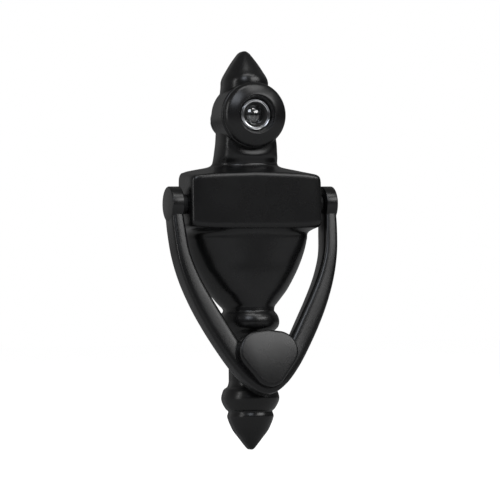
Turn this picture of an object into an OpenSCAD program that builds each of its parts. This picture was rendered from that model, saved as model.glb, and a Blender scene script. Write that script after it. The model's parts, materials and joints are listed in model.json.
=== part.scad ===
// Door knocker with built-in door viewer.
// Frame: origin where the viewer's axis meets the door face, +Z up, front towards -Y.
// Heights inside the modules are counted from the bottom tip; lift() moves them into the frame.

/* [Body] */
// Overall height
body_h = 172; // [120:1:220]
// Outer radius of the boss
boss_r = 14.4; // [12:0.1:18]
// Front face of the boss, from the door face
boss_d = 13.6; // [10:0.1:18]
// Half-width of the hinge box
box_hw = 29.8; // [24:0.1:34]
// Front face of the hinge box, from the door face
box_d = 17.8; // [14:0.1:22]
// Wall thickness of the casting
wall = 3.4; // [2:0.1:5]

/* [Viewer] */
// Height of the viewer's axis above the bottom tip
view_z = 143.6; // [120:0.1:160]
// Outer radius of the bezel
bezel_r = 14; // [12:0.1:16]
// Front of the bezel, from the door face
bezel_d = 18.9; // [18:0.1:22]
// Outer radius of the barrel
barrel_r = 5.9; // [5:0.05:8]
// Radius of the bright front ring
ring_r = 6.8; // [6:0.05:9]
// End of the barrel behind the door face
barrel_end = 19.8; // [10:0.1:30]
// Radius of the eyepiece tube
eye_r = 5.1; // [4:0.05:7]
// Radius of the eyepiece flange
flange_r = 7.5; // [7:0.1:12]

/* [Bail] */
// Height of the hinge axis above the bottom tip
piv_z = 105.6; // [90:0.1:120]
// Distance of the hinge axis from the door face
piv_d = 8; // [7.8:0.1:12]
// Forward lean of the bail at rest, in degrees
lean = 11; // [5:0.5:15]
// Radius of the ears
ear_r = 7.6; // [6:0.1:7.7]
// Inner face of an ear, from the middle
ear_in = 32.4; // [30:0.05:36]
// Outer face of an ear, from the middle
ear_out = 37.6; // [35:0.05:42]
// Centre of the striking pad, below the hinge axis
pad_s = 68.5; // [60:0.5:76]

/* [Fixings] */
// Radius of the hinge pins
pin_r = 2; // [1.5:0.1:3]
// Radial running clearance of the hinge pins
pin_gap = 0.05; // [0.01:0.01:0.1]
// Height of the lower screw above the bottom tip
screw_lo = 22; // [18:0.5:26]
// Distance between the two screws
screw_gap = 84; // [80:0.5:86]
// Radius of the tapped holes
screw_r = 1.7; // [1.2:0.05:2.5]

/* [Output] */
// Node to draw

/* [Hidden] */
$fn = 64;
metal = [0.13, 0.13, 0.14];
steel = [0.7, 0.7, 0.72];
glass = [0.5, 0.62, 0.7];
nylon = [0.2, 0.2, 0.2];

// Turned part below the urn: radius, height. Its axis stands turn_d in front of the door face.
LOWER = [
  [0.6, 0.1], [1.7, 1.3], [4.5, 4.8], [7.2, 8.3], [9, 12], [9.7, 15], [9.5, 16.3], [10, 17.3],
  [11.7, 20], [12.3, 22.4], [11.7, 24.6], [9.8, 26.8], [8.8, 28.8], [8.7, 38], [8.8, 49],
  [10, 50.5], [12.1, 52.4], [12.9, 54.8], [12.3, 57.4], [10.9, 59.5], [10.8, 60.4], [11.3, 61.6]];
// Turned part above the boss.
UPPER = [
  [9.9, 149], [9.9, 157.4], [10, 158.8], [8.8, 161.5], [5.4, 166.8], [2.8, 170.2], [1.7, 171.4],
  [0.7, 171.9]];
turn_d = 3.6;

// Bottom of the hinge box, and its top at the front corners.
box_lo = 95.2;
box_hi = 117.4;

// Urn, hinge box core, shoulders and neck: height, half-width, depth, squareness.
RELIEF = [
  [60.4, 10.8, 14.2, 2], [62.6, 12.5, 14.5, 2], [68.6, 17.4, 15.3, 2.1], [75.5, 22, 15.7, 2.2],
  [82.4, 25, 15.9, 2.4], [91, 27, 16, 2.9], [96.6, 28.1, 16, 4.6], [115.5, 28.3, 15.6, 5],
  [117.5, 28.3, 15.2, 5], [119, 27.6, 14.6, 3.2], [120.5, 23.8, 13.6, 2], [121.9, 17.7, 12.6, 2],
  [122.9, 15.2, 12.2, 2.3], [124.4, 14.4, 12.5, 2.7], [128.8, 13.4, 12.6, 3.4],
  [132.3, 12.9, 12.4, 4], [149, 11, 12.4, 2.8]];

// Middle line of the bail in its own plane: half-span, distance below the hinge axis, width, thickness.
ARM = [
  [35, 3, 5.2, 10.4],
  [34.5, 11.8, 5.8, 10.3],
  [33.4, 22.3, 6.1, 10],
  [30.5, 32.7, 7.2, 9.4],
  [26.2, 43, 8.2, 8.9],
  [21.3, 52.6, 8.8, 8.4],
  [15.9, 61.9, 9, 8],
  [10.9, 69.4, 9, 8],
  [5.6, 76, 8.8, 8],
  [0, 79.4, 8.6, 8]];

bail_back = 4;
pad_top = 7.8;

// Catmull-Rom curve through a list of vectors, with n steps for each span.
function cr(a, b, c, d, t) =
  0.5 * (2 * b + (c - a) * t + (2 * a - 5 * b + 4 * c - d) * t * t
  + (3 * b - a - 3 * c + d) * t * t * t);
function curve(p, n) = let (m = len(p) - 1)
  [for (i = [0:m - 1]) for (k = [0:n - 1])
    cr(p[max(i - 1, 0)], p[i], p[i + 1], p[min(i + 2, m)], k / n), p[m]];
function mirrored(p) = let (m = len(p) - 1)
  [for (i = [0:m]) p[i], for (i = [1:m]) [-p[m - i][0], p[m - i][1], p[m - i][2], p[m - i][3]]];

// Smooth rows between knots that are spaced by their first value, at most step apart.
function slope(p, i, k) = let (a = max(i - 1, 0), b = min(i + 1, len(p) - 1))
  (p[b][k] - p[a][k]) / (p[b][0] - p[a][0]);
function smooth(p, step) = [for (i = [0:len(p) - 2])
  let (h = p[i + 1][0] - p[i][0], n = ceil(h / step)) for (j = [0:n - 1]) let (t = j / n)
    [p[i][0] + h * t, for (k = [1:3]) p[i][k] * (1 + 2 * t) * (1 - t) * (1 - t)
      + h * slope(p, i, k) * t * (1 - t) * (1 - t) + p[i + 1][k] * t * t * (3 - 2 * t)
      + h * slope(p, i + 1, k) * t * t * (t - 1)], p[len(p) - 1]];

// One cross-section of the relief: a flat back and a rounded, squarish front.
function section(w, d, e, m) =
  [for (j = [0:m]) let (a = 180 * j / m, c = cos(a), s = sin(a))
    [-w * sign(c) * pow(abs(c), 2 / e), j == 0 || j == m ? -1 : d * pow(s, 2 / e)]];

// Closes a stack of rings, each of k points, into one solid.
module skin(rings, k) {
  n = len(rings);
  pts = [for (r = rings) for (p = r) p];
  sides = [for (i = [0:n - 2]) for (j = [0:k - 1]) let (q = (j + 1) % k)
    for (f = [[i * k + j, (i + 1) * k + j, (i + 1) * k + q],
      [i * k + j, (i + 1) * k + q, i * k + q]]) f];
  low = [for (j = [0:k - 1]) j];
  top = [for (j = [0:k - 1]) (n - 1) * k + k - 1 - j];
  polyhedron(points = pts, faces = concat(sides, [low], [top]), convexity = 8);
}

module lift() {
  translate([0, 0, -view_z]) children();
}

// Turns a shape drawn along +Z so that it runs forwards from the door face.
module forward(z) {
  translate([0, 0, z]) rotate([90, 0, 0]) children();
}

// Ring about the viewer's axis, from depth d0 to depth d1 in front of the door face.
module ring(ro, ri, d0, d1) {
  rotate([90, 0, 0]) difference() {
    translate([0, 0, d0]) cylinder(r = ro, h = d1 - d0);
    translate([0, 0, d0 - 1]) cylinder(r = ri, h = d1 - d0 + 2);
  }
}

// Solid of revolution about the viewer's axis; profile points are radius, depth.
module turned(p) {
  rotate([90, 0, 0]) rotate_extrude() polygon(p);
}

module relief() {
  m = 14;
  skin([for (q = smooth(RELIEF, 2.5))
    [for (p = section(q[1], q[2], q[3], m)) [p[0], -p[1], q[0]]]], m + 1);
}

// A turned stretch of the casting: a half-round front on a straight-sided back.
module turned_relief(p) {
  line = curve(p, 2);
  low = line[0][1];
  high = line[len(line) - 1][1];
  translate([0, -turn_d, 0]) rotate_extrude()
    polygon(concat([[0, low]], line, [[0, high]]));
  rotate([90, 0, 0]) translate([0, 0, -1]) linear_extrude(turn_d + 1)
    polygon(concat([for (q = line) [q[0] - 0.25, q[1]]],
      [for (i = [len(line) - 1:-1:0]) [0.25 - line[i][0], line[i][1]]]));
}

// Front of the hinge box: soft corners, and a top that falls a little to each side.
module box_front() {
  corner = 2.2;
  hull() {
    translate([-box_hw, -9, 96]) cube([2 * box_hw, 10, 20]);
    for (x = [-1, 1]) for (z = [box_lo + corner, box_hi - corner])
      translate([x * (box_hw - corner), corner - box_d, z]) sphere(r = corner, $fn = 24);
    for (x = [-1, 1]) translate([x * (box_hw - corner), -2, box_hi + 1.2 - corner])
      rotate([90, 0, 0]) cylinder(r = corner, h = 7, $fn = 32);
    translate([0, -3, box_hi + 1.4 - corner])
      rotate([90, 0, 0]) cylinder(r = corner, h = box_d - 4.2, $fn = 32);
  }
}

module boss() {
  translate([0, 0, view_z]) turned([[0, -1], [boss_r, -1], [boss_r, 2],
    [boss_r - 0.15, boss_d - 0.8], [boss_r - 0.5, boss_d - 0.25], [boss_r - 1, boss_d], [0, boss_d]]);
}

module cavities() {
  translate([0, 0.5, view_z]) rotate([90, 0, 0]) cylinder(r = boss_r - 3, h = 10);
  translate([-8.5, -9.6, 112]) cube([17, 10, 26]);
  difference() {
    translate([-box_hw + wall, -box_d + wall + 0.2, 99.4]) cube([2 * (box_hw - wall), box_d, 15]);
    forward(screw_lo + screw_gap) cylinder(r = 3.8, h = 30);
  }
  rotate([90, 0, 0]) translate([0, 0, -0.5]) linear_extrude(10.3)
    polygon([[-8, 66], [-13.5, 72], [-18, 79], [-20.4, 86], [-21.2, 101],
      [21.2, 101], [20.4, 86], [18, 79], [13.5, 72], [8, 66]]);
}

module body() {
  color(metal) lift() difference() {
    union() {
      relief();
      turned_relief(LOWER);
      turned_relief(UPPER);
      box_front();
      boss();
    }
    translate([-50, 0, -10]) cube([100, 10, body_h + 20]);
    cavities();
    translate([0, 1, view_z]) rotate([90, 0, 0]) cylinder(r = barrel_r + 0.1, h = 30);
    for (z = [screw_lo, screw_lo + screw_gap]) forward(z)
      translate([0, 0, -1]) cylinder(r = screw_r, h = 11);
    forward(screw_lo + screw_gap) translate([0, 0, -1]) cylinder(r = 4.6, h = 1.8);
    for (s = [-1, 1]) translate([s * box_hw, -piv_d, piv_z]) rotate([0, 90, 0])
      cylinder(r = pin_r + 1, h = 10, center = true);
    forward(pad_zc) translate([0, 0, 8]) cylinder(r = 2.2, h = 10);
    forward(pad_zc) translate([0, 0, 11.1]) cylinder(r = 4.3, h = 6);
  }
}

pad_zc = piv_z - pad_s * cos(lean);

// The bail's own plane: x across, y up along the arms, z out of its front.
module bail_plane() {
  translate([0, -piv_d, piv_z]) rotate([90 - lean, 0, 0]) children();
}

module arms() {
  line = curve(mirrored(ARM), 3);
  m = len(line) - 1;
  skin([for (i = [0:m]) let (
    a = line[max(i - 1, 0)],
    b = line[min(i + 1, m)],
    q = line[i],
    t = [b[0] - a[0], a[1] - b[1]] / norm([b[0] - a[0], a[1] - b[1]]),
    u = [-t[1], t[0]],
    w = q[2] / 2,
    lo = -q[3] / 2,
    hi = q[3] / 2)
    [for (p = [[-w + 1.2, lo], [w - 1.2, lo], [w, lo + 1.4], [w, hi - 1.8], [w - 0.5, hi - 0.6],
      [w - 1.6, hi], [-w + 1.6, hi], [-w + 0.5, hi - 0.6], [-w, hi - 1.8], [-w, lo + 1.4]])
      [q[0] + p[0] * u[0], -q[1] + p[0] * u[1], p[1]]]], 10);
}

// Rounded triangle, point down, for the pad; grown by g.
module pad_shape(g) {
  hull() {
    for (x = [-1, 1]) translate([x * 4.6, 2.9]) circle(r = 8.4 + g, $fn = 48);
    translate([0, 2.3]) circle(r = 9.6 + g, $fn = 48);
    translate([0, -5.2]) circle(r = 6.9 + g, $fn = 48);
  }
}

module pad() {
  translate([0, -pad_s, 0]) {
    translate([0, 0, -bail_back]) linear_extrude(bail_back + pad_top - 0.8) pad_shape(0);
    linear_extrude(pad_top) pad_shape(-0.8);
  }
}

module ear(side) {
  x = side > 0 ? ear_in : -ear_out;
  translate([x, 0, 0]) rotate([0, 90, 0]) cylinder(r = ear_r, h = ear_out - ear_in);
}

module bail() {
  color(metal) lift() difference() {
    bail_plane() {
      arms();
      pad();
      ear(1);
      ear(-1);
    }
    translate([-ear_out + 1.25, -piv_d, piv_z]) rotate([0, 90, 0])
      cylinder(r = pin_r + 0.02, h = 2 * ear_out - 2.5);
  }
}

module pivot_pins() {
  color(steel) lift() for (s = [-1, 1]) translate([0, -piv_d, piv_z]) rotate([0, 90 * s, 0]) {
    translate([0, 0, box_hw - 5.6]) cylinder(r = 3.2, h = 1.7);
    translate([0, 0, box_hw - 4.5]) cylinder(r = pin_r, h = ear_out - 1.3 - box_hw + 4.5);
  }
}

module pivot_bushings() {
  color(nylon) lift() for (s = [-1, 1]) translate([0, -piv_d, piv_z]) rotate([0, 90 * s, 0])
    difference() {
      union() {
        translate([0, 0, box_hw - wall - 0.1]) cylinder(r = pin_r + 0.98, h = wall + 0.2);
        translate([0, 0, box_hw + 0.02]) cylinder(r = 4.2, h = ear_in - 0.5 - box_hw);
      }
      translate([0, 0, box_hw - wall - 1]) cylinder(r = pin_r + pin_gap, h = 10);
    }
}

module strike_bumper() {
  color(nylon) lift() translate([0, 0, pad_zc]) turned([[0, 8.2], [2.18, 8.2], [2.18, 11.12],
    [4.2, 11.12], [4.2, 15], [3.6, 15.7], [2.4, 16.2], [1.2, 16.5], [0, 16.6]]);
}

module viewer_bezel() {
  seat = boss_d + 2;
  color(metal) turned([[barrel_r + 0.05, boss_d], [bezel_r - 0.8, boss_d],
    [bezel_r - 0.8, boss_d + 0.5], [bezel_r - 0.4, boss_d + 0.7], [bezel_r, boss_d + 1.2],
    [bezel_r, boss_d + 2.1],
    [bezel_r - 0.4, bezel_d - 2.3], [bezel_r - 1.2, bezel_d - 1.6], [bezel_r - 2.7, bezel_d - 0.9],
    [bezel_r - 4.3, bezel_d - 0.3], [bezel_r - 5.3, bezel_d], [bezel_r - 5.7, bezel_d - 0.1],
    [bezel_r - 6, bezel_d - 0.6], [bezel_r - 6.2, seat + 1.6], [bezel_r - 6.7, seat + 1.3],
    [bezel_r - 6.8, seat], [barrel_r + 0.05, seat]]);
}

module viewer_barrel() {
  seat = boss_d + 2.02;
  color(steel) turned([[5.3, 6.6], [5.3, 16.2], [5.5, 16.5], [5.8, 16.6], [6.1, 16.5], [6.2, 16.3],
    [6.4, 16.4], [6.6, 16.3], [ring_r, 16.1], [ring_r, seat], [barrel_r, seat],
    [barrel_r, -barrel_end], [eye_r + 0.07, -barrel_end], [eye_r + 0.07, 5.8], [4.4, 5.8], [4.4, 6.6]]);
}

module barrel_washer() {
  color(steel) ring(8.4, barrel_r + 0.05, 8.85, 9.45);
}

module barrel_nut() {
  color(steel) rotate([90, 0, 0]) difference() {
    translate([0, 0, 6.3]) cylinder(r = 9, h = 2.5, $fn = 6);
    translate([0, 0, 5]) cylinder(r = barrel_r + 0.04, h = 5);
  }
}

module front_lens() {
  color(glass) turned([[0, 13.7], [1.5, 13.6], [3, 13.3], [4.1, 12.8], [5.25, 12.8], [5.25, 14.38],
    [4, 14.38], [3.4, 14.75], [2.4, 15.15], [1.2, 15.4], [0, 15.48]]);
}

module lens_retainer() {
  color(nylon) turned([[4.1, 14.4], [5.25, 14.4], [5.25, 16.1], [4.9, 16.1], [4.2, 15]]);
}

module front_spacer() {
  color(nylon) ring(5.25, 4.4, 11.42, 12.78);
}

module mid_lens() {
  color(glass) turned([[0, 10.5], [2, 10.4], [4.1, 10.02], [5.25, 10.02], [5.25, 11.4], [4.1, 11.4],
    [2, 11.1], [0, 11]]);
}

module light_stop() {
  color(nylon) ring(5.25, 2.5, 9.5, 10);
}

module rear_spacer() {
  color(nylon) ring(5.25, 4.4, 8.12, 9.48);
}

module inner_lens() {
  color(glass) turned([[0, 7.3], [2, 7.15], [4.2, 6.62], [5.25, 6.62], [5.25, 8.1], [0, 8.1]]);
}

module eyepiece_tube() {
  color(steel) difference() {
    turned([[4.3, 5.2], [eye_r, 5.2], [eye_r, -20.66], [flange_r, -20.66], [flange_r, -21.4],
      [flange_r - 0.4, -21.8], [4.45, -21.8], [4.45, -17.6], [3.8, -17.6], [3.8, -17], [4.3, -17]]);
    for (x = [-1, 1]) translate([x * 6.6 - 1.3, 21.1, -0.6]) cube([2.6, 1.5, 1.2]);
  }
}

module eyepiece_lens() {
  color(glass) turned([[0, -17.1], [1.8, -17.25], [3.4, -17.62], [4.4, -17.62], [4.4, -19.4], [3.3, -19.4],
    [1.8, -19.8], [0, -19.95]]);
}

module eyepiece_retainer() {
  color(nylon) ring(4.4, 3.4, -21.2, -19.42);
}

module door_washer() {
  color(nylon) ring(7.4, barrel_r + 0.08, -20.6, -19.9);
}

body();
bail();
pivot_pins();
pivot_bushings();
strike_bumper();
viewer_bezel();
viewer_barrel();
barrel_washer();
barrel_nut();
front_lens();
lens_retainer();
front_spacer();
mid_lens();
light_stop();
rear_spacer();
inner_lens();
eyepiece_tube();
eyepiece_lens();
eyepiece_retainer();
door_washer();
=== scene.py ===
import json
import math

import bmesh
import bpy
from mathutils import Matrix, Vector


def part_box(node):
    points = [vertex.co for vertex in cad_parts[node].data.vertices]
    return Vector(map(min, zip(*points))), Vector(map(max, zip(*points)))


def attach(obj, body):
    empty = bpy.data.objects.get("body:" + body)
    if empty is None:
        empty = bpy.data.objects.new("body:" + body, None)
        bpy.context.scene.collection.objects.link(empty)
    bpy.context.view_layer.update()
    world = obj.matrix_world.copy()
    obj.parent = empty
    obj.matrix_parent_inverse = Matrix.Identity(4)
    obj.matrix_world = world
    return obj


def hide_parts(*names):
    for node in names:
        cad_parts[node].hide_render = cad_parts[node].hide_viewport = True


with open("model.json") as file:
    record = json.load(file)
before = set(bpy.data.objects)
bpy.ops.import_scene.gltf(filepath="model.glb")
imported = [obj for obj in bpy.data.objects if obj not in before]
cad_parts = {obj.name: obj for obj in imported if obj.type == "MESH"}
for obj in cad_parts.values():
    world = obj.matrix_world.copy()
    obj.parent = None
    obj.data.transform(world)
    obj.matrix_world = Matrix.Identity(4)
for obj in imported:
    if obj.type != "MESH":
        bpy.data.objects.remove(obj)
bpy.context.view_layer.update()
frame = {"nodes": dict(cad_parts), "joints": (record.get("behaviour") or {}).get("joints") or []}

# ---------------------------------------------------------------- places, from the frame
MM = 0.001
ON_AXIS = 1e-6                           # a radius below this, in mm, is a point on the axis
BODY_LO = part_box("body")[0]
BAIL_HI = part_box("bail")[1]
BEZEL_LO, BEZEL_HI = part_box("viewer_bezel")
LENS_LO, LENS_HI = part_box("front_lens")
TIP_Z = BODY_LO[2] - 0.1 * MM            # where heights start; the profile begins 0.1 mm above it
VIEW_Z = -TIP_Z / MM                     # height of the viewer's axis above the tip
EAR_OUT = BAIL_HI[0] / MM                # outer face of an ear
PIVOT = {j["name"]: j for j in frame["joints"]}["bail_swing"]["pos_m"]
BEZEL_R = BEZEL_HI[0] / MM
BEZEL_BACK = -BEZEL_HI[1] / MM           # depths are counted forwards from the door face
BEZEL_FRONT = -BEZEL_LO[1] / MM

# ---------------------------------------------------------------- sizes, mm
LEAN = math.radians(11)                  # forward lean of the bail at rest
EAR_R = 7.6
EAR_IN = EAR_OUT - 5.2                   # inner face of an ear
EAR_ROUND_IN, EAR_ROUND_OUT = 0.5, 0.7   # rounding of its inner and outer rims
BAR_ROUND = 1.2                          # rounding of an arm's back corners
BAR_CROWN = 2.6                          # depth of an arm's crowned front
BAR_FULLNESS = 0.62                      # its shape: 1 is an ellipse, less is squarer
PAD_S = 68.5                             # centre of the pad, below the hinge
PAD_TOP = 7.8                            # front of the pad, from the bail's middle plane
PAD_ROUND = 1.2
PAD_CIRCLES = [(4.6, -2.9, 8.6), (-4.6, -2.9, 8.6), (0, -2.3, 9.8), (0, 5.1, 7.2)]  # x, s, radius

BOX_HW, BOX_D = 29.8, 17.8               # half-width and depth of the hinge box
BOX_END_R = 2.2                          # rounding of its upper ends
ARCH_DROP, ARCH_SPAN = 1.5, 29.0         # how far its top falls from the middle to this far out
ARCH_FROM, ARCH_OVER = 106.0, 11.0       # height where that drop starts, and what it is spread over
COLLAR_H, COLLAR_R, COLLAR_W = 0.26, 17.4, 1.8   # the soft ring round the boss
COLLAR_FROM = 124.0                      # no collar below this height
BOSS_R, BOSS_D, BOSS_ROUND = 14.4, 13.6, 1.0
BARREL_HOLE_R = 6.0
BOSS_WEB = 9.5                           # back of the web that the barrel's nut bears on
CORE_R = 11.4                            # hollow inside the boss
SCREW_LO, SCREW_GAP = 22.0, 84.0         # height of the lower tapped hole, and distance to the upper
SCREW_R, SCREW_DEPTH, DRILL_TIP = 1.7, 9.4, 0.6
POST_R = 3.8                             # post round the upper tapped hole
BUMPER_STEM_R, BUMPER_STEM_D = 2.2, 8.0  # radius of the bumper's stem, and depth where its hole ends
BUMPER_HEAD_R, BUMPER_HEAD_D = 4.3, 11.1   # radius and depth of the flat seat under its head
PAST = 1.0                               # how far a cutter runs past the face that it opens
DEEP = 18.0                              # past the front of the casting, for cutters that go through
RELIEF_STEP = 0.6                        # height between sections of the casting
RELIEF_POINTS = 72                       # points round the front of each section

TURN_D = 3.6                             # axis of the turned stretches, in front of the door face
TURNED_BELOW, TURNED_ABOVE = 62.5, 151.0   # heights where the turned stretches end
LENS_GAP = 0.01                          # clearance of the front lens inside its CAD box
LENS_DOME_R, LENS_DOME_H = 3.6, 1.1      # radius and height of its domed front
LENS_HOLLOW_R, LENS_HOLLOW_H = 4.1, 0.9  # and of its hollow back

# Pockets at the back: right half of the outline, as (across, height above the tip), and depth
POCKETS = [
    ([(8.5, 112), (8.5, 138)], 9.6),
    ([(26.4, 99.4), (26.4, 114.4)], 14.2),
    ([(8, 66), (13.5, 72), (18, 79), (20.4, 86), (21.2, 101)], 9.8)]

# Turned stretches of the casting: height above the tip, radius
LOWER = [
    (0.1, 0.4), (0.5, 1), (1.3, 1.75), (3.1, 3.2), (4.8, 4.5), (8.3, 7.2), (11.8, 8.9), (13.5, 9.5),
    (14.4, 9.75), (15.4, 9.55), (16.4, 9.2), (16.9, 9.45), (17.4, 10.1), (18.7, 11), (20.4, 11.9),
    (22, 12.3), (23.2, 12.2), (24.4, 11.85), (25.8, 11.3), (26.5, 10.6), (27.1, 9.6), (28.2, 9),
    (30, 8.7), (48.2, 8.7), (49.4, 9), (50.6, 10.1), (51.8, 11.6), (53, 12.5), (54.8, 12.9),
    (56.8, 12.6), (58.4, 11.8), (59.5, 10.9), (60.3, 10.8)]
UPPER = [
    (156.6, 10), (158.6, 9.9), (160.6, 9.2), (162.6, 8), (164.4, 6.9), (167.2, 5), (169.7, 3.1),
    (171.2, 1.8), (171.9, 0.7)]
# Urn, hinge box, shoulders and neck: height, half-width, depth, squareness
MIDDLE = [
    (61.2, 11.4, 14.3, 2), (62.6, 12.9, 14.5, 2), (65.2, 15.2, 14.9, 2), (68.6, 17.9, 15.3, 2.1),
    (75.5, 22, 15.7, 2.2), (80.8, 24.6, 15.8, 2.2), (86, 26.2, 15.9, 2.5), (90.6, 26.9, 16, 2.9),
    (93.4, 27.3, 16.1, 3.2), (94.6, 28.3, 16.5, 5), (95.3, 29.2, 17.2, 8), (96.3, 29.7, 17.7, 12),
    (98, 29.8, 17.8, 16), (116, 29.8, 17.8, 16), (118.4, 29.7, 17.6, 14), (119, 29.3, 17, 9),
    (119.5, 28.6, 15.6, 3.6), (120.6, 23.4, 14, 2.1), (121.8, 16.7, 12.8, 2), (122.9, 14.8, 12.2, 2.2),
    (124.4, 14.2, 12.4, 2.6), (125.8, 13.9, 12.7, 3), (128.2, 13.5, 12.6, 3.4), (132.3, 12.9, 12.5, 4),
    (140, 12.3, 12.3, 3.4), (149, 11, 12.4, 2.8)]

# Middle line of the bail in its own plane: half-span, distance below the hinge, width, thickness
ARM = [
    (35, 3, 5.2, 10.4), (34.5, 11.8, 5.8, 10.3), (33.4, 22.3, 6.1, 10), (30.5, 32.7, 7.2, 9.4),
    (26.1, 43, 8.4, 8.9), (21.1, 52.6, 9.1, 8.4), (15.8, 61.9, 9.1, 8), (10.9, 69.4, 9, 8),
    (5.5, 75.7, 8.8, 8), (0, 78.9, 8.6, 8)]


# ---------------------------------------------------------------- curves
def smooth(rows, step):
    """A smooth curve through rows, spaced by their first value, with a point about every step."""
    def slope(i, k):
        a, b = max(i - 1, 0), min(i + 1, len(rows) - 1)
        return (rows[b][k] - rows[a][k]) / (rows[b][0] - rows[a][0])
    out = []
    for i in range(len(rows) - 1):
        p, q = rows[i], rows[i + 1]
        h = q[0] - p[0]
        n = max(2, math.ceil(h / step))
        for j in range(n):
            t = j / n
            a, b, c, d = (1 + 2 * t) * (1 - t) ** 2, t * (1 - t) ** 2, t * t * (3 - 2 * t), t * t * (t - 1)
            out.append((p[0] + h * t,) + tuple(
                a * p[k] + b * h * slope(i, k) + c * q[k] + d * h * slope(i + 1, k)
                for k in range(1, len(p))))
    return out + [rows[-1]]


def catmull(a, b, c, d, t):
    """A point between b and c, t of the way, on a curve that also passes through a and d."""
    return tuple(0.5 * (2 * q + (r - p) * t + (2 * p - 5 * q + 4 * r - s) * t * t
                        + (3 * q - p - 3 * r + s) * t ** 3) for p, q, r, s in zip(a, b, c, d))


def curve(points, steps):
    """A smooth curve through points, with steps points for each stretch."""
    m = len(points) - 1
    out = [catmull(points[max(i - 1, 0)], points[i], points[i + 1], points[min(i + 2, m)], k / steps)
           for i in range(m) for k in range(steps)]
    return out + [points[m]]


def arc(cx, cy, r, a0, a1, steps):
    """Points on an arc about (cx, cy), between two angles in degrees."""
    return [(cx + r * math.cos(math.radians(a0 + (a1 - a0) * k / steps)),
             cy + r * math.sin(math.radians(a0 + (a1 - a0) * k / steps))) for k in range(steps + 1)]


# ---------------------------------------------------------------- meshes
def new_object(name, bm):
    mesh = bpy.data.meshes.new(name)
    bmesh.ops.recalc_face_normals(bm, faces=bm.faces)
    bm.to_mesh(mesh)
    bm.free()
    for f in mesh.polygons:
        f.use_smooth = True
    obj = bpy.data.objects.new(name, mesh)
    bpy.context.scene.collection.objects.link(obj)
    return obj


def skin(bm, rings):
    """A closed tube through rings of the same number of points."""
    rows = [[bm.verts.new(p) for p in ring] for ring in rings]
    k = len(rows[0])
    for a, b in zip(rows, rows[1:]):
        for j in range(k):
            bm.faces.new((a[j], b[j], b[(j + 1) % k], a[(j + 1) % k]))
    bm.faces.new(rows[0])
    bm.faces.new(rows[-1])


def lathe(bm, profile, place, steps=128):
    """Turns a profile of (radius, distance) about an axis; place(x, y, distance) gives the point."""
    rows = []
    for r, d in profile:
        if r < ON_AXIS:
            rows.append([bm.verts.new(place(0, 0, d))] * steps)
        else:
            rows.append([bm.verts.new(place(r * math.cos(2 * math.pi * k / steps),
                                            r * math.sin(2 * math.pi * k / steps), d))
                         for k in range(steps)])
    closed = profile[0][0] > ON_AXIS and profile[-1][0] > ON_AXIS
    for a, b in list(zip(rows, rows[1:])) + ([(rows[-1], rows[0])] if closed else []):
        for k in range(steps):
            q = (k + 1) % steps
            corners = list(dict.fromkeys((a[k], b[k], b[q], a[q])))
            if len(corners) > 2:
                bm.faces.new(corners)


def forwards(x0, z0):
    """Places a lathe's axis along -Y, at x0 across and z0 above the viewer's axis, in mm."""
    return lambda x, y, d: ((x0 + x) * MM, -d * MM, (z0 + y) * MM)


def prism(bm, outline, d0, d1):
    """An outline of (across, height above the tip), between two depths."""
    skin(bm, [[(x * MM, -d * MM, TIP_Z + z * MM) for x, z in outline] for d in (d0, d1)])


def boolean(obj, cutter, operation):
    """Applies a boolean to obj at once, and uses up the cutter."""
    mod = obj.modifiers.new(operation, "BOOLEAN")
    mod.operation = operation
    mod.solver = "EXACT"
    mod.object = cutter
    bpy.context.view_layer.update()
    done = bpy.data.meshes.new_from_object(obj.evaluated_get(bpy.context.evaluated_depsgraph_get()))
    obj.modifiers.clear()
    obj.data = done
    bpy.data.objects.remove(cutter)


def sharpen(obj, angle):
    """Marks the edges that are sharper than an angle, in degrees, so that they shade crisply."""
    bm = bmesh.new()
    bm.from_mesh(obj.data)
    for e in bm.edges:
        e.smooth = len(e.link_faces) != 2 or e.calc_face_angle(0) < math.radians(angle)
    bm.to_mesh(obj.data)
    bm.free()


# ---------------------------------------------------------------- casting
def section(w, d, e, turned, m):
    """Flat back and rounded, squarish front; turned blends in a half-round on straight sides.

    w is the half-width, d the depth, e the squareness and m the number of points round the front.
    """
    pts = [(-w, 0)]
    for j in range(m + 1):
        a = math.pi * j / m
        c, s = math.cos(a), math.sin(a)
        y = d * max(s, 0) ** (2 / e) * (1 - turned) + (d - w + w * s) * turned
        x = math.copysign(abs(c) ** (2 / e), c) * (1 - turned) + c * turned
        pts.append((-w * x, max(y, 0.02)))
    return pts + [(w, 0)]


def turned_share(z):
    """1 on the turned stretches at the bottom and the top, 0 between them."""
    t = min(max((TURNED_BELOW - z) / 2, (z - TURNED_ABOVE) / 5, 0), 1)
    return t * t * (3 - 2 * t)


def collar(x, z):
    """Height of the soft collar that runs round the boss, on the neck and on the finial's foot."""
    r = math.hypot(x, z - VIEW_Z)
    return COLLAR_H * math.exp(-((r - COLLAR_R) / COLLAR_W) ** 2) if z > COLLAR_FROM else 0


def arch(x, d, z):
    """How far the top of the hinge box drops, at depth d: to its front corners, and round its ends."""
    end = min(max(abs(x) - (BOX_HW - BOX_END_R), 0), BOX_END_R)
    drop = ARCH_DROP * (x / ARCH_SPAN) ** 2 * (d / BOX_D) + BOX_END_R - math.sqrt(BOX_END_R ** 2 - end ** 2)
    return drop * min(max((z - ARCH_FROM) / ARCH_OVER, 0), 1)


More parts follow.
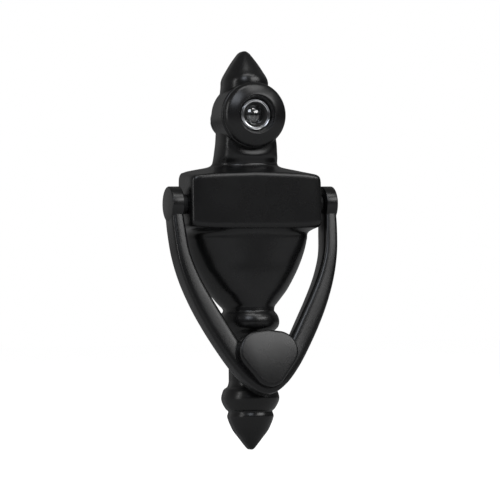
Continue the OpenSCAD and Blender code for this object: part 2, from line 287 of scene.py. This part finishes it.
def relief():
    """The outside of the casting, as a skin over its sections."""
    bm = bmesh.new()
    rings = []
    rows = [(z, r, r + TURN_D, 2) for z, r in LOWER] + MIDDLE + [(z, r, r + TURN_D, 2) for z, r in UPPER]
    for z, w, d, e in smooth(rows, RELIEF_STEP):
        ring = []
        for x, y in section(w, d, e, turned_share(z), RELIEF_POINTS):
            y += collar(x, z) * (y / d)
            ring.append((x * MM, -y * MM, TIP_Z + (z - arch(x, y, z)) * MM))
        rings.append(ring)
    skin(bm, rings)
    return new_object("casting", bm)


def plug(r, back, front):
    """Profile of a solid cylinder, for lathe."""
    return [(0, back), (r, back), (r, front), (0, front)]


def hollow():
    """Everything that is open at the back of the casting, as one cutter."""
    def add(profile, z, steps, operation):
        bm = bmesh.new()
        lathe(bm, profile, forwards(0, z), steps)
        boolean(cutter, new_object("tool", bm), operation)

    bm = bmesh.new()
    lathe(bm, plug(BOSS_R - 0.5, -PAST, DEEP), forwards(0, 0))
    cutter = new_object("hollow", bm)
    for half, depth in POCKETS:
        bm = bmesh.new()
        prism(bm, half + [(-x, z) for x, z in reversed(half)], -PAST, depth)
        boolean(cutter, new_object("pocket", bm), "UNION")
    low, high = SCREW_LO - VIEW_Z, SCREW_LO + SCREW_GAP - VIEW_Z
    add(plug(POST_R, 0, DEEP), high, 128, "DIFFERENCE")
    drilled = [(0, -PAST), (SCREW_R, -PAST), (SCREW_R, SCREW_DEPTH), (0, SCREW_DEPTH + DRILL_TIP)]
    for z in (low, high):
        add(drilled, z, 48, "UNION")
    add([(0, BUMPER_STEM_D), (BUMPER_STEM_R, BUMPER_STEM_D), (BUMPER_STEM_R, BUMPER_HEAD_D),
         (BUMPER_HEAD_R, BUMPER_HEAD_D), (BUMPER_HEAD_R, DEEP), (0, DEEP)],
        PIVOT[2] / MM - PAD_S * math.cos(LEAN), 64, "UNION")
    return cutter


def boss():
    """The round boss that the viewer goes through, with a web for the nut and a hollow behind it."""
    bm = bmesh.new()
    rim = BOSS_R - 0.1
    profile = [(BARREL_HOLE_R, BOSS_WEB), (CORE_R, BOSS_WEB), (CORE_R, 0), (BOSS_R, 0),
               (rim, BOSS_D - BOSS_ROUND - 0.1)]
    profile += arc(rim - BOSS_ROUND, BOSS_D - BOSS_ROUND, BOSS_ROUND, 0, 90, 8) + [(BARREL_HOLE_R, BOSS_D)]
    lathe(bm, profile, forwards(0, 0))
    obj = new_object("boss", bm)
    sharpen(obj, 40)
    return obj


def bezel():
    """A dome with a rolled lip round the recess that the bright ring sits in."""
    bm = bmesh.new()
    r, lo, hi = BEZEL_R, BEZEL_BACK, BEZEL_FRONT
    bore = BARREL_HOLE_R - 0.05
    back = [(bore, lo), (r - 0.8, lo), (r - 0.8, lo + 0.5)]
    dome = [(r - 0.4, lo + 0.7), (r - 0.05, lo + 1.2), (r, lo + 1.9), (r - 0.3, lo + 2.6),
            (r - 1.2, hi - 1.75), (r - 2.7, hi - 1), (r - 4.3, hi - 0.35), (r - 5.3, hi - 0.03)]
    lip = [(r - 5.55, hi), (r - 5.8, hi - 0.1), (r - 5.95, hi - 0.35), (r - 6, hi - 0.9)]
    ledge = [(r - 6.1, hi - 1.1), (r - 6.4, hi - 1.2), (r - 6.55, hi - 1.4), (r - 6.6, hi - 1.8)]
    recess = [(r - 6.8, hi - 1.95), (r - 6.85, lo + 2), (bore, lo + 2)]
    profile = back + curve(dome, 5) + curve(lip, 4) + curve(ledge, 3) + recess
    lathe(bm, profile, forwards(0, 0))
    obj = new_object("bezel", bm)
    sharpen(obj, 45)
    return obj


def front_glass():
    """The front lens with smooth surfaces: a flat rim, a domed front and a hollow back."""
    bm = bmesh.new()
    r = LENS_HI[0] / MM - LENS_GAP
    back = -LENS_HI[1] / MM + LENS_GAP
    front = -LENS_LO[1] / MM - LENS_GAP
    n = 16
    dome = [(LENS_DOME_R * k / n, front - LENS_DOME_H * (k / n) ** 2) for k in range(n, -1, -1)]
    hollow_back = [(LENS_HOLLOW_R * k / n, back + LENS_HOLLOW_H * (1 - (k / n) ** 2)) for k in range(n + 1)]
    lathe(bm, hollow_back + [(r, back), (r, front - LENS_DOME_H)] + dome, forwards(0, 0), 96)
    obj = new_object("front_glass", bm)
    sharpen(obj, 25)
    return obj


# ---------------------------------------------------------------- bail
def bail_point(x, s, b):
    """A point of the bail: x across, s down along it, b out of its front, in mm."""
    return (x * MM, PIVOT[1] - (s * math.sin(LEAN) + b * math.cos(LEAN)) * MM,
            PIVOT[2] + (-s * math.cos(LEAN) + b * math.sin(LEAN)) * MM)


def bar_section(w, lo, hi, steps):
    """Cross-section of an arm, half-width w: round back corners and a full, softly crowned front."""
    pts = arc(-w + BAR_ROUND, lo + BAR_ROUND, BAR_ROUND, 180, 270, steps)
    pts += arc(w - BAR_ROUND, lo + BAR_ROUND, BAR_ROUND, 270, 360, steps)
    for k in range(4 * steps + 1):
        a = math.pi * k / (4 * steps)
        c = math.cos(a)
        pts.append((w * math.copysign(abs(c) ** BAR_FULLNESS, c),
                    hi - BAR_CROWN + BAR_CROWN * math.sin(a) ** BAR_FULLNESS))
    return pts


def arms(bm):
    """Both arms and the curve under the pad, as one bar swept along the bail's middle line."""
    line = curve(ARM + [(-x, s, w, t) for x, s, w, t in reversed(ARM[:-1])], 8)
    rings = []
    for i, (x, s, w, t) in enumerate(line):
        a, b = line[max(i - 1, 0)], line[min(i + 1, len(line) - 1)]
        d = Vector((b[0] - a[0], b[1] - a[1])).normalized()
        u = (-d[1], d[0])
        rings.append([bail_point(x + p * u[0], s + p * u[1], q)
                      for p, q in bar_section(w / 2, -t / 2, t / 2, 5)])
    skin(bm, rings)


def pad_outline(grow):
    """Rounded triangle with its point down, in the bail's plane, as (x, s), grown by a distance."""
    n = 96
    pts = []
    for k in range(n):
        d = (math.cos(2 * math.pi * k / n), math.sin(2 * math.pi * k / n))
        x, s, r = max(PAD_CIRCLES, key=lambda c: c[0] * d[0] + c[1] * d[1] + c[2])
        pts.append((x + (r + grow) * d[0], PAD_S + s + (r + grow) * d[1]))
    return pts


def pad(bm):
    """The striking pad: straight sides from behind the bar, and a rounded front rim."""
    levels = [(-4, -0.8), (-3.2, 0)]
    levels += [(PAD_TOP + y, x) for x, y in arc(-PAD_ROUND, -PAD_ROUND, PAD_ROUND, 0, 90, 6)]
    skin(bm, [[bail_point(x, s, b) for x, s in pad_outline(g)] for b, g in levels])


def ear(bm, side):
    """The disc that an arm ends in, on the side 1 or -1."""
    t = EAR_OUT - EAR_IN
    profile = [(0, 0)] + arc(EAR_R - EAR_ROUND_IN, EAR_ROUND_IN, EAR_ROUND_IN, -90, 0, 4)
    profile += arc(EAR_R - EAR_ROUND_OUT, t - EAR_ROUND_OUT, EAR_ROUND_OUT, 0, 90, 5)
    lathe(bm, profile + [(0, t)],
          lambda x, y, h: (side * (EAR_IN + h) * MM, PIVOT[1] + x * MM, PIVOT[2] + y * MM), 96)


def bail():
    bm = bmesh.new()
    arms(bm)
    pad(bm)
    ear(bm, 1)
    ear(bm, -1)
    obj = new_object("knocker_bail", bm)
    sharpen(obj, 40)
    return obj


# ---------------------------------------------------------------- materials
def material(name, color, metallic=0.0, roughness=0.4, **sockets):
    mat = bpy.data.materials.new(name)
    mat.use_nodes = True
    bsdf = mat.node_tree.nodes["Principled BSDF"]
    bsdf.inputs["Base Color"].default_value = (*color, 1)
    bsdf.inputs["Metallic"].default_value = metallic
    bsdf.inputs["Roughness"].default_value = roughness
    for key, value in sockets.items():
        bsdf.inputs[key.replace("_", " ")].default_value = value
    return mat, mat.node_tree, bsdf


def noise(tree, scale, detail):
    """A noise texture fixed to the object; its scale is in features per metre."""
    coord = tree.nodes.new("ShaderNodeTexCoord")
    tex = tree.nodes.new("ShaderNodeTexNoise")
    tex.inputs["Scale"].default_value = scale
    tex.inputs["Detail"].default_value = detail
    tree.links.new(coord.outputs["Object"], tex.inputs["Vector"])
    return tex.outputs["Fac"]


def vary(tree, fac, socket, low, high):
    """Maps the noise's usual range, 0.3 to 0.7, onto low to high."""
    ramp = tree.nodes.new("ShaderNodeMapRange")
    ramp.inputs["From Min"].default_value = 0.3
    ramp.inputs["From Max"].default_value = 0.7
    ramp.inputs["To Min"].default_value = low
    ramp.inputs["To Max"].default_value = high
    tree.links.new(fac, ramp.inputs["Value"])
    tree.links.new(ramp.outputs["Result"], socket)


def tint(tree, fac, socket, dark, light):
    """Blends from dark to light by a noise."""
    mix = tree.nodes.new("ShaderNodeMix")
    mix.data_type = "RGBA"
    mix.inputs["A"].default_value = (*dark, 1)
    mix.inputs["B"].default_value = (*light, 1)
    tree.links.new(fac, mix.inputs["Factor"])
    tree.links.new(mix.outputs["Result"], socket)


def relief_bump(tree, bsdf, fac, strength, distance):
    bump = tree.nodes.new("ShaderNodeBump")
    bump.inputs["Strength"].default_value = strength
    bump.inputs["Distance"].default_value = distance
    tree.links.new(fac, bump.inputs["Height"])
    tree.links.new(bump.outputs["Normal"], bsdf.inputs["Normal"])


def powder_coat():
    """Satin black coat over a casting: fine orange peel, and faint patches in colour and gloss."""
    mat, tree, bsdf = material("satin_black_coat", (0.006, 0.006, 0.0063), 0.0, 0.36)
    broad = noise(tree, 60, 3)
    tint(tree, broad, bsdf.inputs["Base Color"], (0.005, 0.005, 0.0054), (0.0072, 0.0072, 0.0074))
    vary(tree, broad, bsdf.inputs["Roughness"], 0.25, 0.3)
    relief_bump(tree, bsdf, noise(tree, 1400, 2), 0.06, 0.0001)
    return mat


def within(tree, radius):
    """1 inside a cylinder of this radius, in mm, round the viewer's axis; 0 outside it."""
    nodes, links = tree.nodes, tree.links
    axes = nodes.new("ShaderNodeSeparateXYZ")
    links.new(nodes.new("ShaderNodeTexCoord").outputs["Object"], axes.inputs["Vector"])
    flat = nodes.new("ShaderNodeCombineXYZ")
    links.new(axes.outputs["X"], flat.inputs["X"])
    links.new(axes.outputs["Z"], flat.inputs["Z"])
    length = nodes.new("ShaderNodeVectorMath")
    length.operation = "LENGTH"
    links.new(flat.outputs["Vector"], length.inputs[0])
    below = nodes.new("ShaderNodeMath")
    below.operation = "LESS_THAN"
    below.inputs[1].default_value = radius * MM
    links.new(length.outputs["Value"], below.inputs[0])
    return below.outputs["Value"]


def plated(name, dark, light, low, high, painted_shade_radius=None):
    """Plated metal with a faint drift in tone and gloss. A tube may have painted shade inside a radius, in
    mm: its bore painted dull black.
    """
    mat, tree, bsdf = material(name, light, 1.0, low)
    cloud = noise(tree, 220, 3)
    tint(tree, cloud, bsdf.inputs["Base Color"], dark, light)
    vary(tree, cloud, bsdf.inputs["Roughness"], low, high)
    if painted_shade_radius:
        inside = within(tree, painted_shade_radius)
        # painted shade: the inside of the bore is painted dull black, standing in for the shade inside the
        # tube
        painted_shade_sockets = {"Base Color": (0.006, 0.006, 0.006, 1), "Metallic": 0.0, "Roughness": 0.6}
        for socket, value in painted_shade_sockets.items():
            mix = tree.nodes.new("ShaderNodeMix")
            color = socket == "Base Color"
            mix.data_type = "RGBA" if color else "FLOAT"
            kind = mix.inputs[6:8] if color else mix.inputs[2:4]
            link = bsdf.inputs[socket].links
            if link:
                tree.links.new(link[0].from_socket, kind[0])
            else:
                kind[0].default_value = bsdf.inputs[socket].default_value
            kind[1].default_value = value
            tree.links.new(inside, mix.inputs["Factor"])
            tree.links.new(mix.outputs[2 if color else 0], bsdf.inputs[socket])
    return mat


def moulded(name, dark, light):
    """Moulded black plastic or rubber with a fine, dull grain."""
    mat, tree, bsdf = material(name, light, 0.0, 0.5)
    grain = noise(tree, 500, 3)
    tint(tree, grain, bsdf.inputs["Base Color"], dark, light)
    vary(tree, grain, bsdf.inputs["Roughness"], 0.45, 0.6)
    relief_bump(tree, bsdf, noise(tree, 2500, 2), 0.1, 0.0001)
    return mat


def optical_glass(name, ior):
    """Clear glass with a very faint tint and haze."""
    mat, tree, bsdf = material(name, (0.9, 0.93, 0.95), 0.0, 0.02, Transmission_Weight=1.0, IOR=ior)
    faint = noise(tree, 150, 1)
    tint(tree, faint, bsdf.inputs["Base Color"], (0.87, 0.91, 0.94), (0.93, 0.95, 0.97))
    vary(tree, faint, bsdf.inputs["Roughness"], 0.015, 0.03)
    return mat


def assign(obj, mat):
    obj.data.materials.clear()
    obj.data.materials.append(mat)


# ---------------------------------------------------------------- pieces
black = powder_coat()
casting = relief()
boolean(casting, hollow(), "DIFFERENCE")
sharpen(casting, 45)
PIECES = [
    (casting, "knocker", "body", "black_cast", black),
    (boss(), "knocker", "body", "black_cast", black),
    (bezel(), "knocker", "viewer_bezel", "black_cast", black),
    (bail(), "bail", "bail", "black_cast", black),
    (front_glass(), "knocker", "front_lens", "glass", optical_glass("coated_lens_glass", 2.3))]
for part, body, node, slot, finish in PIECES:
    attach(part, body)
    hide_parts(node)
    assign(part, finish)

NICKEL = {"dark": (0.66, 0.67, 0.69), "light": (0.76, 0.77, 0.79), "low": 0.13, "high": 0.2}
# painted shade: each tube's bore is painted dull black inside the radius given here
nickel = plated("bright_nickel", **NICKEL, painted_shade_radius=5.35)
eyepiece_nickel = plated("eyepiece_nickel", **NICKEL, painted_shade_radius=4.4)
zinc = plated("zinc_plate", (0.5, 0.51, 0.53), (0.6, 0.61, 0.63), 0.3, 0.42)
dark_plastic = moulded("black_plastic", (0.006, 0.006, 0.006), (0.011, 0.011, 0.011))
glass = optical_glass("lens_glass", 1.52)
FINISH = {
    "viewer_barrel": nickel, "eyepiece_tube": eyepiece_nickel, "pivot_pins": zinc, "barrel_washer": zinc,
    "barrel_nut": zinc, "mid_lens": glass, "inner_lens": glass, "eyepiece_lens": glass}
replaced = {node for part, body, node, slot, finish in PIECES}
for name, obj in frame["nodes"].items():
    if name not in replaced:
        assign(obj, FINISH.get(name, dark_plastic))

# ---------------------------------------------------------------- camera
YAW, ELEV, ROLL = math.radians(-20), math.radians(-1.7), math.radians(1.08)
DIST = 1.2
SENSOR = 36
VIEW_WIDTH = 0.215                       # width of the picture at the object, m
TARGET = Vector((-0.3 * MM, -6.9 * MM, TIP_Z + 85.9 * MM))

cam_data = bpy.data.cameras.new("camera")
cam_data.sensor_width = SENSOR
cam_data.lens = SENSOR * DIST / VIEW_WIDTH
cam_data.clip_start = 0.01
cam_data.clip_end = 50
camera = bpy.data.objects.new("camera", cam_data)
away = Vector((math.sin(YAW) * math.cos(ELEV), -math.cos(YAW) * math.cos(ELEV), math.sin(ELEV)))
camera.location = TARGET + away * DIST
look = (-away).to_track_quat("-Z", "Y").to_matrix().to_4x4()
camera.matrix_world = Matrix.Translation(camera.location) @ look @ Matrix.Rotation(-ROLL, 4, "Z")
bpy.context.scene.collection.objects.link(camera)
bpy.context.scene.camera = camera
bpy.context.scene.view_settings.view_transform = "Standard"

# ---------------------------------------------------------------- floor, world and light
FLOOR_HALF = 12                          # half the floor's side, m
FLOOR_GLOW = 0.9                         # seen by the camera only, so that the ground stays white
bm = bmesh.new()
bmesh.ops.create_grid(bm, x_segments=1, y_segments=1, size=FLOOR_HALF)
floor = new_object("floor", bm)
floor.location = (0, 0, TIP_Z - 1 * MM)
floor_mat, floor_tree, floor_bsdf = material("floor", (0.6, 0.6, 0.6), 0.0, 0.9)
floor_bsdf.inputs["Emission Color"].default_value = (1, 1, 1, 1)
floor_path = floor_tree.nodes.new("ShaderNodeLightPath")
floor_glow = floor_tree.nodes.new("ShaderNodeMath")
floor_glow.operation = "MULTIPLY"
floor_glow.inputs[1].default_value = FLOOR_GLOW
floor_tree.links.new(floor_path.outputs["Is Camera Ray"], floor_glow.inputs[0])
floor_tree.links.new(floor_glow.outputs[0], floor_bsdf.inputs["Emission Strength"])
assign(floor, floor_mat)


def studio_world(front, back, high, backdrop):
    """A dim room in front, lighter at -X, a backdrop behind, a ceiling, and a white ground.

    Each level is the strength that the object sees; only the camera sees the backdrop's strength.
    """
    world = bpy.data.worlds.new("world")
    bpy.context.scene.world = world
    world.use_nodes = True
    tree = world.node_tree
    nodes, links = tree.nodes, tree.links
    shade = nodes["Background"]
    coord = nodes.new("ShaderNodeTexCoord")
    axes = nodes.new("ShaderNodeSeparateXYZ")
    links.new(coord.outputs["Generated"], axes.inputs["Vector"])

    def blend(value, lo, hi, a, b):
        """Smoothly from a to b as value goes from lo to hi."""
        ramp = nodes.new("ShaderNodeMapRange")
        ramp.interpolation_type = "SMOOTHSTEP"
        for key, v in (("From Min", lo), ("From Max", hi)):
            ramp.inputs[key].default_value = v
        links.new(value, ramp.inputs["Value"])
        for key, v in (("To Min", a), ("To Max", b)):
            if isinstance(v, float):
                ramp.inputs[key].default_value = v
            else:
                links.new(v, ramp.inputs[key])
        return ramp.outputs["Result"]

    level = blend(axes.outputs["X"], -0.3, 0.4, back, 0.25 * back)
    front = blend(axes.outputs["X"], -0.8, -0.1, 2 * front, front)
    level = blend(axes.outputs["Y"], -0.3, 0.5, front, level)
    level = blend(axes.outputs["Z"], 0.12, 0.6, level, high)
    path = nodes.new("ShaderNodeLightPath")
    level = blend(path.outputs["Is Camera Ray"], 0.4, 0.6, level, backdrop)
    shade.inputs["Color"].default_value = (1, 1, 1, 1)
    links.new(level, shade.inputs["Strength"])


studio_world(0.04, 0.28, 0.16, 1.0)


def softbox(name, location, size, radiance, tone=(1, 1, 1), aim=(0, 0, -0.05)):
    """A rectangular light of a given radiance, turned to face a point."""
    light = bpy.data.lights.new(name, "AREA")
    light.shape = "RECTANGLE"
    light.size, light.size_y = size
    light.energy = radiance * math.pi * size[0] * size[1]
    light.color = tone
    obj = bpy.data.objects.new(name, light)
    obj.location = location
    obj.rotation_euler = (Vector(aim) - Vector(location)).to_track_quat("-Z", "Y").to_euler()
    bpy.context.scene.collection.objects.link(obj)


def direction(azimuth, elevation, distance):
    """A place round the object. Azimuth 0 is in front of it, and 90 is towards +X, right in the picture."""
    a, e = math.radians(azimuth), math.radians(elevation)
    return (distance * math.sin(a) * math.cos(e), -distance * math.cos(a) * math.cos(e),
            distance * math.sin(e))


LIGHT_DIST = 1.6
COOL = (0.86, 0.91, 1)
softbox("key", direction(34, 26, LIGHT_DIST), (1.0, 0.45), 4.5)
softbox("upper", direction(28, 50, LIGHT_DIST), (0.7, 0.3), 4.0)
softbox("high_left", direction(-22, 34, LIGHT_DIST), (0.5, 0.6), 4.2, COOL)
softbox("top", direction(-8, 62, LIGHT_DIST), (0.7, 0.35), 4.0)
softbox("side_left", direction(-72, 15, LIGHT_DIST), (0.3, 1.1), 3.5)
